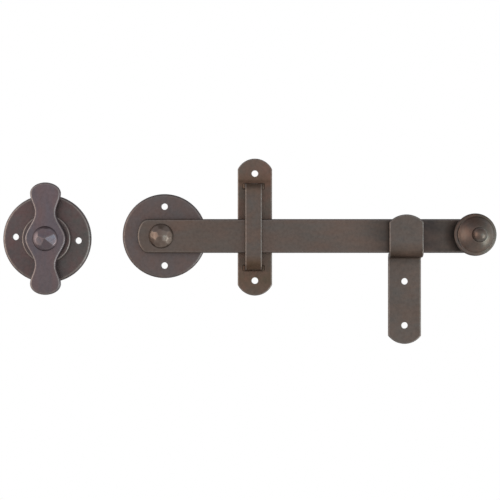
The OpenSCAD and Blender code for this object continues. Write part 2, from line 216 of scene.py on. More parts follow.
def countersunk_behind(back, front, depth, flare):
    """A hole that is wider by flare at the back face and narrows over a depth."""
    return [(flare, back, 0.4), (flare - 0.1, back + 0.1, 0.4), (0, back + depth, 0.2),
            (0, front - 0.2, 0), (0.2, front, 0)]


# Mesh building

def world(points):
    x, z, h = np.asarray(points, float).T
    return np.column_stack([x, -h, z]) * MM


def new_piece(name, points, faces, wear_and_shade, material, node, body):
    """A smooth-shaded mesh that stands for a CAD node and rides on its body."""
    mesh = bpy.data.meshes.new(name)
    mesh.from_pydata(world(points).tolist(), [], faces)
    mesh.validate()
    mesh.attributes.new("wear_and_shade", "FLOAT", "POINT").data.foreach_set("value", np.array(wear_and_shade, np.float32))
    mesh.shade_smooth()
    piece = bpy.data.objects.new(name, mesh)
    bpy.context.scene.collection.objects.link(piece)
    piece.data.materials.append(material)
    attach(piece, body)
    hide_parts(node)


def inside(points, loop):
    """Which points lie inside a closed loop."""
    x, z = points[:, 0][:, None], points[:, 1][:, None]
    x0, z0 = loop[:, 0], loop[:, 1]
    x1, z1 = np.roll(x0, -1), np.roll(z0, -1)
    crosses = (z0 > z) != (z1 > z)
    with np.errstate(divide="ignore", invalid="ignore"):
        at = (x1 - x0) * (z - z0) / (z1 - z0) + x0
    return (crosses & (x < at)).sum(axis=1) % 2 == 1


def in_metal(points, loops):
    """Which points lie inside the first loop and outside the others."""
    keep = inside(points, loops[0])
    for hole in loops[1:]:
        keep &= ~inside(points, hole)
    return keep


def inner_points(loops, grid, rows=None):
    """Grid points in the metal, clear of its edges. rows are heights to use instead."""
    outer = loops[0]
    xs = np.arange(outer[:, 0].min() + grid / 2, outer[:, 0].max(), grid)
    zs = np.arange(outer[:, 1].min() + grid / 2, outer[:, 1].max(), grid) if rows is None else rows
    points = np.array([(x + grid / 2 * (k % 2), z) for k, z in enumerate(zs) for x in xs])
    points = points[in_metal(points, loops)]
    edges = np.vstack(loops)
    gap = np.array([np.hypot(*(edges - p).T).min() for p in points])
    return points[gap > 0.55 * grid]


def triangulated(loops, extra):
    """Triangles over the metal between the loops, through the extra points too."""
    points = np.vstack(loops + [extra])
    edges, start = [], 0
    for loop in loops:
        count = len(loop)
        edges.extend((start + i, start + (i + 1) % count) for i in range(count))
        start += count
    found = delaunay_2d_cdt([Vector(p) for p in points], edges, [], 0, 1e-6)
    source = [origin[0] for origin in found[3]]
    triangles = np.array([[source[i] for i in face] for face in found[2]])
    middles = points[triangles].mean(axis=1)
    triangles = triangles[in_metal(middles, loops)]
    a, b, c = (points[triangles[:, i]] for i in range(3))
    doubled_area = (b - a)[:, 0] * (c - a)[:, 1] - (b - a)[:, 1] * (c - a)[:, 0]
    turned = doubled_area < 0
    triangles[turned] = triangles[turned][:, ::-1]
    return triangles[np.abs(doubled_area) > SLIVER]


def wave(points, seed):
    """The gentle unevenness that hammering leaves on a face: waves with finer ripples on them."""
    heights = []
    for x, z in points / WAVE_LENGTH:
        swell = noise.noise(Vector((x, z, seed)))
        ripple = noise.noise(Vector((x * RIPPLES_IN_WAVE, z * RIPPLES_IN_WAVE, seed + 9)))
        heights.append(swell + RIPPLE_SHARE * ripple)
    return np.array(heights) * WAVE_HEIGHT


def ring_faces(rings, closed=False):
    """Faces between rings of point numbers, back first. A ring can be one point repeated."""
    faces = []
    pairs = list(zip(rings, rings[1:])) + ([(rings[-1], rings[0])] if closed else [])
    for low, high in pairs:
        for i in range(len(low)):
            j = (i + 1) % len(low)
            face = [low[i], low[j], high[j], high[i]]
            faces.append([v for k, v in enumerate(face) if v != face[k - 1]])
    return faces


def plate(loops, seed, grid=GRID, rows=None, bend=None):
    """A plate from (loop, edge profile) pairs, the outline first and its holes after it.

    Returns its points as (x, z, h), its faces and the wear at each point. rows are as in
    inner_points. bend maps the flat plate's points on to a bent one.
    """
    flat, heights, wear_and_shade, faces = [], [], [], []
    back_rings, front_rings = [], []

    def put(points, height, worn_and_shaded):
        """Add points at one height and return their numbers."""
        first = len(heights)
        flat.append(points)
        heights.extend([height] * len(points))
        wear_and_shade.extend([worn_and_shaded] * len(points))
        return np.arange(first, len(heights))

    for loop, profile in loops:
        rings = [offset(loop, inset) for inset, _, _ in profile]
        numbers = [put(ring, height, worn_and_shaded) for ring, (_, height, worn_and_shaded) in zip(rings, profile)]
        faces.extend(ring_faces([ring.tolist() for ring in numbers]))
        back_rings.append((rings[0], numbers[0]))
        front_rings.append((rings[-1], numbers[-1]))

    back, front = min(heights), max(heights)
    for ends, height, order in ((back_rings, back, -1), (front_rings, front, 1)):
        borders = [ring for ring, _ in ends]
        extra = inner_points(borders, grid, rows)
        index = np.concatenate([numbers for _, numbers in ends] + [put(extra, height, 0.0)])
        faces.extend(index[triangulated(borders, extra)][:, ::order].tolist())

    flat, heights = np.vstack(flat), np.array(heights)
    share = (heights - back) / (front - back)
    points = np.column_stack([flat, heights - share * np.abs(wave(flat, seed))])
    return (bend(points) if bend else points), faces, wear_and_shade


def lathe(profile, x, z, segments=128, closed=False):
    """A turned shape from (radius, height, wear) rows, back first."""
    angles = np.linspace(0, 2 * math.pi, segments, endpoint=False)
    points, wear_and_shade, rings = [], [], []
    for radius, height, worn_and_shaded in profile:
        start = len(points)
        if radius == 0:
            points.append((x, z, height))
            rings.append([start] * segments)
        else:
            points.extend((x + radius * math.cos(a), z + radius * math.sin(a), height) for a in angles)
            rings.append(list(range(start, start + segments)))
        wear_and_shade.extend([worn_and_shaded] * (len(points) - start))
    return np.array(points), ring_faces(rings, closed), wear_and_shade


def beaten(ways, ball, facets, softness):
    """How far a ball with flats on it reaches along each way, and how sharp its ridge is there."""
    bearings, tilts, depths = np.array(facets).T
    b, t = np.radians(bearings), np.radians(tilts)
    facing = ways @ np.array([np.sin(t) * np.cos(b), np.sin(t) * np.sin(b), np.cos(t)])
    reaches = np.full((len(ways), len(facets) + 1), ball)
    faces_it = facing > DOME_FACING
    reaches[:, 1:] = np.where(faces_it, (ball - depths) / np.maximum(facing, DOME_FACING), np.inf)
    reaches.sort(axis=1)
    nearest, second = reaches[:, 0], reaches[:, 1]
    blend = np.exp((nearest[:, None] - reaches) / softness).sum(axis=1)
    return nearest - DOME_BLEND * softness * np.log(blend), np.exp((nearest - second) / DOME_RIDGE)


def hammered_dome(x, z, base, radius, height, facets, softness, segments=144, rings=40):
    """A cap of a ball with flats beaten on to it. facets are (bearing, tilt, depth).

    softness rounds the ridges between the flats. The foot sinks a little into the wavy face
    that the dome sits on, so that no gap shows.
    """
    ball = (radius ** 2 + height ** 2) / (2 * height)
    rim = math.asin(radius / ball)
    lean = np.append(0, np.repeat(rim * np.arange(1, rings + 1) / rings, segments))
    turn = np.append(0, np.tile(2 * math.pi * np.arange(segments) / segments, rings))
    ways = np.column_stack([np.sin(lean) * np.cos(turn), np.sin(lean) * np.sin(turn), np.cos(lean)])
    reach, ridge = beaten(ways, ball, facets, softness)
    cap = ways * reach[:, None] + (0, 0, height - ball)
    foot = np.column_stack([cap[-segments:, :2] * DOME_FOOT_SHARE, np.full(segments, -DOME_SINK)])
    points = np.vstack([cap, foot, (0, 0, -DOME_SINK)]) + (x, z, base)

    # A band round the foot is darkened, as dirt at the joint and painted shade; the ridges between the flats
    # are rubbed bright.
    dirt_and_shade = np.maximum(0, lean / rim - DOME_DIRT_AND_SHADE_FROM) / (1 - DOME_DIRT_AND_SHADE_FROM)
    wear_and_shade = np.append(0.25 * ridge - 0.5 * dirt_and_shade, np.zeros(segments + 1))
    circles = [list(range(1 + k * segments, 1 + (k + 1) * segments)) for k in range(rings + 1)]
    centre = len(points) - 1
    return points, ring_faces([[centre] * segments] + circles[::-1] + [[0] * segments]), wear_and_shade


def follow(start, path, distances):
    """Places and headings in the (z, h) plane along a path of (length, turn) stretches."""
    z, h, heading = start
    places = np.zeros((len(distances), 3))
    gone = 0
    for number, (length, turn) in enumerate(path):
        last = number == len(path) - 1
        here = (distances >= gone) & ((distances < gone + length) | last)
        run = distances[here] - gone
        bend = math.radians(turn)
        if turn == 0:
            places[here] = np.column_stack([
                z + run * math.cos(heading), h + run * math.sin(heading), np.full(len(run), heading)])
            z, h = z + length * math.cos(heading), h + length * math.sin(heading)
        else:
            radius = length / bend
            angle = heading + run / radius
            places[here] = np.column_stack([
                z + radius * (np.sin(angle) - math.sin(heading)),
                h - radius * (np.cos(angle) - math.cos(heading)), angle])
            z += radius * (math.sin(heading + bend) - math.sin(heading))
            h -= radius * (math.cos(heading + bend) - math.cos(heading))
            heading += bend
        gone += length
    return places


def on_path(start, path, x, s, n):
    """Points as (x, z, h), at distances s along a path and n off it."""
    z, h, heading = follow(start, path, s).T
    return np.column_stack([x, z - n * np.sin(heading), h + n * np.cos(heading)])


def quarter(radius):
    """The length of a quarter turn."""
    return math.pi * radius / 2


# Materials

BARE_METAL = (0.26, 0.22, 0.195, 1)
# The dark laid where the wear and shade attribute is below nought: dirt at joints, and painted shade on the
# sides of edges, on the knob's rim and creases and round the dome feet.
DIRT_AND_PAINTED_SHADE = (0.030, 0.024, 0.020, 1)


def new_material(name):
    """A material with only its shader, then its node tree and that shader."""
    material = bpy.data.materials.new(name)
    material.use_nodes = True
    return material, material.node_tree, material.node_tree.nodes["Principled BSDF"]


def add(tree, kind, inputs=(), **settings):
    """A node with its settings, and its inputs set to values or linked to sockets."""
    made = tree.nodes.new(kind)
    for key, value in settings.items():
        setattr(made, key, value)
    for key, value in dict(inputs).items():
        if isinstance(value, bpy.types.NodeSocket):
            tree.links.new(value, made.inputs[key])
        else:
            made.inputs[key].default_value = value
    return made


def noise_at(tree, place, scale, detail=3, roughness=0.55, seed=0.0):
    """Noise whose blotches are about 1 / scale metres across."""
    made = add(tree, "ShaderNodeTexNoise",
               {"Vector": place, "W": seed, "Scale": scale, "Detail": detail, "Roughness": roughness},
               noise_dimensions="4D")
    return made.outputs["Fac"]


def ramp(tree, factor, stops):
    made = add(tree, "ShaderNodeValToRGB", {"Fac": factor})
    elements = made.color_ramp.elements
    while len(elements) < len(stops):
        elements.new(0.5)
    for element, (position, colour) in zip(elements, stops):
        element.position = position
        element.color = (*colour, 1) if isinstance(colour, tuple) else (colour, colour, colour, 1)
    return made.outputs["Color"]


def mixed(tree, factor, first, second, blend="MIX"):
    made = add(tree, "ShaderNodeMix", data_type="RGBA", blend_type=blend)
    for socket, value in ((made.inputs[0], factor), (made.inputs[6], first), (made.inputs[7], second)):
        if isinstance(value, bpy.types.NodeSocket):
            tree.links.new(value, socket)
        else:
            socket.default_value = value
    return made.outputs[2]


def calculated(tree, operation, first, second):
    return add(tree, "ShaderNodeMath", {0: first, 1: second}, operation=operation).outputs[0]


def scaled(tree, value, low, high, new_low, new_high):
    return add(tree, "ShaderNodeMapRange",
               {"Value": value, "From Min": low, "From Max": high, "To Min": new_low, "To Max": new_high},
               ).outputs["Result"]


def patina(name, seed, umber, slate, streak=(1, 1, 1), tones=(), dullness=0.44):
    """Oil-rubbed bronze: blotches of umber and slate, rubbed edges, fine pitting.

    streak stretches the blotches along an axis. tones are pairs of an axis and the tints laid on
    at places along it, in millimetres; some of these tints are painted light and shade.
    """
    material, tree, shader = new_material(name)
    place = add(tree, "ShaderNodeTexCoord").outputs["Object"]
    stretched = add(tree, "ShaderNodeMapping", {"Vector": place, "Scale": streak}).outputs["Vector"]
    blotches = noise_at(tree, stretched, 95, 4, 0.6, seed)
    clouds = noise_at(tree, place, 26, 2, 0.5, seed + 3)
    flecks = noise_at(tree, place, 420, 5, 0.65, seed + 5)
    grain = noise_at(tree, place, 2600, 2, 0.6, seed + 7)
    # The wear and shade attribute: above nought rubbed edges, below nought dirt at joints and painted shade.
    rubbed = add(tree, "ShaderNodeAttribute", attribute_name="wear_and_shade").outputs["Fac"]

    middle = tuple((a + b) / 2 for a, b in zip(umber, slate))
    colour = ramp(tree, blotches, [(0.34, umber), (0.5, middle), (0.66, slate)])
    layers = [ramp(tree, clouds, [(0.3, 0.92), (0.7, 1.07)]),
              ramp(tree, flecks, [(0.32, 0.86), (0.52, 1.0), (0.75, 1.1)])]
    uneven = scaled(tree, blotches, 0.36, 0.58, 0.65, 1.0)
    for axis, stops in tones:
        layers.append(mixed(tree, uneven, (1, 1, 1, 1), toned(tree, place, axis, stops)))
    for layer in layers:
        colour = mixed(tree, 1.0, colour, layer, "MULTIPLY")
    patchy = scaled(tree, flecks, 0.3, 0.65, 0.35, 1.0)
    bared = calculated(tree, "MULTIPLY", calculated(tree, "MAXIMUM", rubbed, 0), patchy)
    # Below nought the attribute darkens the metal, as dirt and painted shade.
    dirt_and_shade = calculated(tree, "MULTIPLY", calculated(tree, "MINIMUM", rubbed, 0), -0.75)
    colour = mixed(tree, bared, colour, BARE_METAL)
    colour = mixed(tree, dirt_and_shade, colour, DIRT_AND_PAINTED_SHADE)
    tree.links.new(colour, shader.inputs["Base Color"])

    dull = scaled(tree, blotches, 0.3, 0.7, dullness + 0.05, dullness - 0.05)
    dull = calculated(tree, "SUBTRACT", dull, calculated(tree, "MULTIPLY", bared, 0.08))
    tree.links.new(dull, shader.inputs["Roughness"])
    shader.inputs["Metallic"].default_value = 0.9
    shader.inputs["Specular IOR Level"].default_value = 0.4

    dents = add(tree, "ShaderNodeTexVoronoi", {"Vector": place, "Scale": 150, "Smoothness": 0.9},
                feature="SMOOTH_F1").outputs["Distance"]
    relief = calculated(tree, "ADD", calculated(tree, "MULTIPLY", flecks, 0.4),
                        calculated(tree, "MULTIPLY", grain, 0.12))
    relief = calculated(tree, "ADD", relief, calculated(tree, "MULTIPLY", dents, 0.2))
    bump = add(tree, "ShaderNodeBump", {"Height": relief, "Strength": 0.5, "Distance": 0.0002})
    tree.links.new(bump.outputs["Normal"], shader.inputs["Normal"])
    return material


def toned(tree, place, axis, stops):
    """Tints along an axis, from (millimetres, tint) stops."""
    along = add(tree, "ShaderNodeSeparateXYZ", {0: place}).outputs[axis]
    low, high = stops[0][0], stops[-1][0]
    share = scaled(tree, along, low * MM, high * MM, 0.0, 1.0)
    return ramp(tree, share, [((at - low) / (high - low), tint) for at, tint in stops])


def turned_metal(name, light, dark, seed, roughness):
    """Machined metal: fine tool lines round the door's normal, and small stains."""
    material, tree, shader = new_material(name)
    place = add(tree, "ShaderNodeTexCoord").outputs["Object"]
    stains = noise_at(tree, place, 240, 5, 0.6, seed)
    scratches = add(tree, "ShaderNodeMapping", {"Vector": place, "Scale": (1.0, 7.0, 1.0)}).outputs["Vector"]
    lines = noise_at(tree, scratches, 900, 3, 0.7, seed + 2)
    tone = ramp(tree, stains, [(0.34, dark), (0.58, light)])
    tone = mixed(tree, 0.35, tone, ramp(tree, lines, [(0.3, dark), (0.7, light)]))
    tree.links.new(tone, shader.inputs["Base Color"])
    tree.links.new(scaled(tree, stains, 0.3, 0.7, roughness + 0.12, roughness - 0.05),
                   shader.inputs["Roughness"])
    shader.inputs["Metallic"].default_value = 1.0
    bump = add(tree, "ShaderNodeBump", {"Height": lines, "Strength": 0.3, "Distance": 0.00006})
    tree.links.new(bump.outputs["Normal"], shader.inputs["Normal"])
    return material


UMBER, SLATE = (0.139, 0.094, 0.075), (0.118, 0.096, 0.083)
DIM_UMBER, DIM_SLATE = (0.131, 0.091, 0.073), (0.110, 0.092, 0.081)
PLUM, DUSK = (0.158, 0.109, 0.111), (0.128, 0.112, 0.126)
PLUM_SHADE, SLATE_SHADE = (0.128, 0.083, 0.079), (0.100, 0.089, 0.086)
RUST, MOSS = (0.162, 0.101, 0.078), (0.126, 0.103, 0.085)
TAN = (0.185, 0.140, 0.112)
ROSE_UMBER, ROSE_SLATE = (0.134, 0.094, 0.084), (0.115, 0.097, 0.094)
# The bar darkens towards its right end. It is darkest just beside the catch's flap and beside the knob,
# where the darkening is painted shade of the flap and the knob.
BAR_TONES_AND_PAINTED_SHADE = ("X", [(135, 1.0), (150, 0.86), (160, 0.66), (169, 0.50), (194, (0.34, 0.36, 0.39)),
                   (201, (0.40, 0.41, 0.44)), (209, 0.56), (219, 0.38), (232, 0.34)])
HANDLE_TONES = ("Z", [(-44, (0.88, 0.87, 0.82)), (0, 0.95), (40, 1.0)])
# Tints up the guide plate: a little darker overall and browner below the strap. The narrow dark brown band
# along the strap's top end, at 41.5 mm, is a painted shadow line.
GUIDE_TINT_AND_PAINTED_SHADOW = ("Z", [(-45, (0.84, 0.84, 0.82)), (-32, (0.82, 0.75, 0.64)), (-22, (0.78, 0.77, 0.74)),
                     (0, 0.9), (36, 0.85), (39, (0.95, 0.8, 0.7)), (41.5, (0.7, 0.56, 0.46)),
                     (43, (0.98, 0.84, 0.74)), (50, (1.0, 0.95, 0.94))])
# Tints up the strap: its bends are tinted brown. The lower bend, which faces down, is also darkened as
# painted shade.
STRAP_TINT_AND_PAINTED_SHADE = ("Z", [(-26, (0.75, 0.55, 0.38)), (-20, (0.9, 0.7, 0.52)), (-14, (1.0, 0.97, 0.95)),
                     (30, 1.0), (35, (1.08, 0.95, 0.82)), (40, (1.05, 0.85, 0.66))])
# The catch darkens and browns round its fold. This is painted shade on the fold's underside and painted
# shadow of the fold on the plate just below it.
CATCH_TINT_AND_PAINTED_SHADE = ("Z", [(-34, 1.0), (-22, 0.9), (-18, 0.7), (-16, (0.48, 0.38, 0.30)),
                     (-12, (0.78, 0.68, 0.6)), (-5, 1.0)])
# Painted light across the knob: lighter and cooler on its right side as a painted highlight, and dimmed left
# of the middle as painted shade.
KNOB_PAINTED_LIGHT_ACROSS = ("X", [(215, (1.04, 1.01, 1.0)), (222, (0.84, 0.85, 0.86)), (229, (0.93, 0.93, 0.93)),
                     (237, (1.0, 1.10, 1.07)), (247, (1.12, 1.34, 1.34))])
# Painted light up the knob: lighter at the bottom as painted light and darker at the top as painted shade.
KNOB_PAINTED_LIGHT_UP = ("Z", [(-15, 1.15), (0, 1.0), (9, (0.86, 0.83, 0.80)), (16, (0.60, 0.52, 0.47))])
ROSE_TONES = ("X", [(-122, (1.05, 0.98, 1.0)), (-88, 1.0), (-56, (0.93, 0.97, 0.93))])
FORGED = {
    "bar_rose": patina("patina_bar_rose", 0, ROSE_UMBER, ROSE_SLATE),
    "bar": patina("patina_bar", 1, UMBER, SLATE, (0.35, 1, 1), [BAR_TONES_AND_PAINTED_SHADE]),
    "dome": patina("patina_dome", 2, TAN, UMBER, dullness=0.36),
    "knob": patina("patina_knob", 3, RUST, SLATE, tones=[KNOB_PAINTED_LIGHT_ACROSS, KNOB_PAINTED_LIGHT_UP], dullness=0.42),
    "guide": patina("patina_guide", 4, RUST, MOSS, tones=[GUIDE_TINT_AND_PAINTED_SHADOW]),
    "strap": patina("patina_strap", 5, DIM_UMBER, DIM_SLATE, tones=[STRAP_TINT_AND_PAINTED_SHADE]),
    "catch": patina("patina_catch", 6, DIM_UMBER, DIM_SLATE, (0.5, 1, 1), [CATCH_TINT_AND_PAINTED_SHADE]),
    "toggle_rose": patina("patina_toggle_rose", 7, PLUM_SHADE, SLATE_SHADE, tones=[ROSE_TONES]),
    "collar": patina("patina_collar", 8, PLUM_SHADE, SLATE_SHADE),
    "handle": patina("patina_handle", 9, PLUM, DUSK, (1, 1, 0.3), [HANDLE_TONES]),
    "toggle_dome": patina("patina_toggle_dome", 10, PLUM, DUSK, dullness=0.33),
}
STEEL = turned_metal("turned_steel", (0.46, 0.45, 0.43), (0.27, 0.26, 0.25), 21, 0.33)
BUSH = turned_metal("bearing_bronze", (0.50, 0.33, 0.15), (0.33, 0.20, 0.09), 31, 0.36)


# Pieces

def screw_holes(mount, back, front, bearing=90):
    """The loops of a mount's two screw holes, placed as the record says."""
    place = np.array(MOUNTS[mount]["pos_m"]) / MM
    dims = MOUNTS[mount]["dims"]
    reach = dims.get("pcd_mm", dims.get("spacing_y_mm")) / 2
    way = math.radians(bearing)
    return [(hole_outline(place[0] + side * reach * math.cos(way), place[2] + side * reach * math.sin(way),
                          dims["hole_r_mm"]), plain_hole(back, front)) for side in (1, -1)]


def forge(name, shape, material, node, body, polish=1.0):
    """A bronze piece in place of a CAD node. polish sets how bright its rubbed edges are."""
    points, faces, wear_and_shade = shape
    wear_and_shade = [worn_and_shaded * polish if worn_and_shaded > 0 else worn_and_shaded for worn_and_shaded in wear_and_shade]
    new_piece(name, points, faces, wear_and_shade, FORGED[material], node, body)


def make_rose(name, bearing, seed, polish):
    """A round plate with a hole for its bush, and screw holes on a bearing in degrees."""
    size = extent(name)
    x, z, back, front = size["x"], size["z"], size["back"], size["front"]
    edge = 2.0
    loops = [(disc_outline(x, z, size["width"] / 2), rounded_edge(back, front, edge)),
             (hole_outline(x, z, BUSH_RADIUS), plain_hole(back, front, 0.2))]
    loops += screw_holes(name + "_screws", back, front, bearing)
    forge(name + "_forged", plate(loops, seed), name, name, "mounted", polish)


def make_bar():
    """The bar is drawn standing and then turned on to its side."""
    back, front = BAR["back"], BAR["front"]
    half = BAR["height"] / 2
    tail_radius, tail_corner, end_radius, edge = 17.7, 6, half + 1, 1.5
    strip = arc_ended_strip(0, half, BAR["left"], BAR["right"], tail_radius, end_radius, tail_corner)
    outline = np.column_stack([strip[:, 1], -strip[:, 0]])
    screw = extent("knob_screw")
    shank, countersink = 2.5, 2.5
    flare = screw["width"] / 2 - shank
    loops = [(outline, rounded_edge(back, front, edge)),
             (slot_outline(0, 0, TENON, TENON), plain_hole(back, front, 0.2)),
             (hole_outline(screw["x"], screw["z"], shank),
              countersunk_behind(back, front, countersink, flare))]
    forge("latch_bar_forged", plate(loops, 3), "bar", "latch_bar", "bar", 0.5)


def make_pivot_dome():
    """Five flats round the crown and nine lower down, each turned and tilted a little unevenly."""
    size = extent("pivot_dome")
    facets = [(72 * k + 34 + 8 * math.sin(5 * k), 20 + 4 * math.cos(3 * k), 0.40) for k in range(5)]
    facets += [(40 * k - 30 + 6 * math.sin(4 * k), 45 + 5 * math.cos(2 * k), 0.46) for k in range(9)]
    shape = hammered_dome(size["x"], size["z"], BAR["front"], size["width"] / 2,
                          size["front"] - BAR["front"], facets, softness=0.16)
    forge("pivot_dome_hammered", shape, "dome", "pivot_dome", "bar")


def arc_rows(x, h, radius, start, end, count, wear_and_shade=0.0):
    angles = np.radians(np.linspace(start, end, count + 1))
    return [(x + radius * math.cos(a), h + radius * math.sin(a), wear_and_shade) for a in angles]


def knob_rows(rim, top):
    """The knob's profile from its seat up to its button, for a rim radius and a whole height."""
    foot, seat_chamfer, foot_top = 8.4, 0.2, 1.1
    cove_x, cove_h, cove = 10.6, 4.4, 3.6
    rim_round = 1.0
    rim_x, rim_h = rim - rim_round, KNOB_RIM_TOP - rim_round
    crease_h = KNOB_RIM_TOP + 0.05
    face_x, face_h, face = rim - 17.2, 1.87, 16.9
    button = 5.2
    rows = [(0, 0, 0), (foot - seat_chamfer, 0, 0), (foot, 0.25, 0.5), (foot, foot_top, 0.3)]
    rows += arc_rows(cove_x, cove_h, cove, 230, 170, 8)
    rows += [(8.2, 6.3, 0), (9.4, 6.8, 0), (rim - 2.2, 7.6, 0.2)]
    # The outer round of the rim and the crease inside the rim are darkened as painted shade.
    rows += arc_rows(rim_x, rim_h, rim_round, -60, 55, 8, -0.85)
    rows += arc_rows(rim_x, rim_h, rim_round, 68, 90, 2, -0.2)
    rows += [(rim - 1.7, crease_h, -0.25), (rim - 1.9, crease_h, -0.45)]
    rows += arc_rows(face_x, face_h, face, 28, 65.5, 22)
    # The crease round the button's foot is darkened as painted shadow.
    rows += [(button + 0.3, 17.2, -0.5), (button, 17.0, -0.8), (button - 0.2, 17.3, -0.6)]
    rows += arc_rows(0, top - button, button, 2, 80, 14)
    return rows + [(0, top, 0)]


def make_knob():
    """The turned knob. Its face swells to one side, which carries the button off its axis."""
    rim = KNOB["width"] / 2
    points, faces, wear_and_shade = lathe(knob_rows(rim, KNOB["front"] - KNOB["back"]), 0, 0)
    on_face = points[:, 2] > KNOB_RIM_TOP + 0.02
    reach = np.hypot(points[:, 0], points[:, 1])
    swelling = np.interp(reach, [5.6, 13.9, rim - 1], [1.8, 0.5, 0.0])
    points[on_face, 0] += swelling[on_face]
    points += (KNOB["x"], KNOB["z"], KNOB["back"])
    forge("bar_knob_turned", (points, faces, wear_and_shade), "knob", "bar_knob", "bar")


def make_guide_plate():
    back, front = GUIDE["back"], GUIDE["front"]
    end_radius, edge, slot_gap = 14.5, 0.9, 0.1
    outline = arc_ended_strip(GUIDE["x"], GUIDE["width"] / 2, GUIDE["bottom"], GUIDE["top"],
                              end_radius, end_radius)
    loops = [(outline, rounded_edge(back, front, edge))]
    for end in (1, -1):
        z = STRAP["z"] + end * (STRAP["height"] - STRAP_THICKNESS) / 2
        slot = slot_outline(STRAP["x"], z, STRAP_WIDTH + slot_gap, STRAP_THICKNESS + slot_gap)
        loops.append((slot, plain_hole(back, front, 0.15)))
    loops += screw_holes("guide_screws", back, front)
    forge("guide_plate_forged", plate(loops, 5), "guide", "guide_plate", "mounted")


def make_strap():
    """The strap, drawn flat and bent round the bar. Its feet spread where they meet the plate."""
    half = STRAP_WIDTH / 2
    bend_radius = 2.4 + STRAP_THICKNESS / 2
    foot_height, foot_spread = 2.6, STRAP["width"] / STRAP_WIDTH - 1
    edge, back_edge, corner_gap = 0.9, 0.5, 1.2
    leg = STRAP["front"] - STRAP_THICKNESS / 2 - bend_radius
    bridge = STRAP["height"] - STRAP_THICKNESS - 2 * bend_radius
    bend = quarter(bend_radius)
    path = [(leg, 0), (bend, -90), (bridge, 0), (bend, -90), (leg, 0)]
    total = 2 * leg + 2 * bend + bridge
    start = (STRAP["bottom"] + STRAP_THICKNESS / 2, 0, math.pi / 2)

    root = GUIDE["front"]
    feet = np.append(0, root + np.array([-0.05, 0, 0.4, 0.8, 1.3, 1.9, foot_height]))
    levels = np.append(feet, (total - feet)[::-1])
    right = np.column_stack([np.full(len(levels), half), levels])
    outline = densified(np.vstack([right, (right * (-1, 1))[::-1]]), SLOT_STEP)
    from_end = np.minimum(outline[:, 1], total - outline[:, 1])
    outline = outline[(from_end < 0.01) | (from_end > corner_gap)]

    def bent(points):
        x, s, n = points.T
        above_root = np.minimum(s, total - s) - root
        spread = np.where(above_root >= -0.01, np.clip(1 - above_root / foot_height, 0, 1) ** 2, 0)
        x = STRAP["x"] + x * (1 + spread * foot_spread)
        return on_path(start, path, x, s, (n - STRAP_THICKNESS / 2) * (1 + 0.4 * spread))

    fine, coarse = 0.6, 1.3
    near, far = leg + bend, leg + bend + bridge
    rows = np.concatenate([np.arange(0.8, near, fine), np.arange(near, far, coarse),
                           np.arange(far, total - 0.5, fine)])
    loops = [(outline, rounded_edge(0, STRAP_THICKNESS, edge, back_edge))]
    forge("guide_strap_forged", plate(loops, 6, grid=coarse, rows=rows, bend=bent), "strap",
          "guide_strap", "mounted")


def make_catch():
    """The catch, drawn flat with its foot at 0 and bent: a plate, a ledge and a flap."""
    thick = 3.2
    plate_half, flap_half = 12.4, CATCH["width"] / 2
    low_radius, high_radius, edge = 15.5, 17.4, 1.0
    foot_bend = 1.5 + thick / 2
    flap_bend = 2.5 + thick / 2
    bar_gap = 0.3
    ledge_middle = BAR["bottom"] - bar_gap - thick / 2
    flap_middle = CATCH["front"] - thick / 2
    upright = ledge_middle - foot_bend - CATCH["bottom"]
    ledge = flap_middle - flap_bend - (thick / 2 + foot_bend)
    flap = CATCH["top"] - (ledge_middle + flap_bend)
    path = [(upright, 0), (quarter(foot_bend), 90), (ledge, 0), (quarter(flap_bend), -90), (flap, 0)]
    total = sum(length for length, _ in path)
    start = (CATCH["bottom"], thick / 2, 0.0)

    low_half = math.degrees(math.asin(plate_half / low_radius))
    high_half = math.degrees(math.asin(flap_half / high_radius))
    bottom = arc(0, low_radius, low_radius, -90 - low_half, -90 + low_half, CATCH_STEP)
    top = arc(0, total - high_radius, high_radius, 90 - high_half, 90 + high_half, CATCH_STEP)
    side = np.array([(plate_half, upright), (flap_half, total - flap)])
    outline = densified(np.vstack([bottom, side, top, (side * (-1, 1))[::-1]]), CATCH_STEP)
    loops = [(outline, rounded_edge(0, thick, edge))]
    for hole, profile in screw_holes("catch_screws", 0, thick):
        loops.append((hole - (CATCH["x"], CATCH["bottom"]), profile))

    def bent(points):
        x, s, n = points.T
        return on_path(start, path, CATCH["x"] + x, s, n - thick / 2)

    fine, coarse = 0.55, GRID
    rows = np.concatenate([np.arange(0.8, upright - 1, coarse),
                           np.arange(upright - 1, total - flap + 1, fine),
                           np.arange(total - flap + 1.5, total, coarse)])
    forge("catch_hook_forged", plate(loops, 7, rows=rows, bend=bent), "catch", "catch_hook", "mounted")


def make_collar():
    back, front = COLLAR["back"], COLLAR["front"]
    outer = COLLAR["width"] / 2
    edge = 0.9
    rows = [(BUSH_RADIUS, back + 0.1, 0), (BUSH_RADIUS, front - 0.2, 0), (BUSH_RADIUS + 0.2, front, 0.2),
            (outer - 1.4, front, 0), (outer - 1.0, front, 0)]
    rows += arc_rows(outer - edge, front - edge, edge, 90, 0, 7, 0.9)
    rows += [(outer, back + 0.2, 0), (outer - 0.15, back + 0.02, 0), (BUSH_RADIUS + 0.1, back + 0.02, 0)]
    forge("toggle_collar_turned", lathe(rows[::-1], COLLAR["x"], COLLAR["z"], closed=True), "collar",
          "toggle_collar", "mounted")


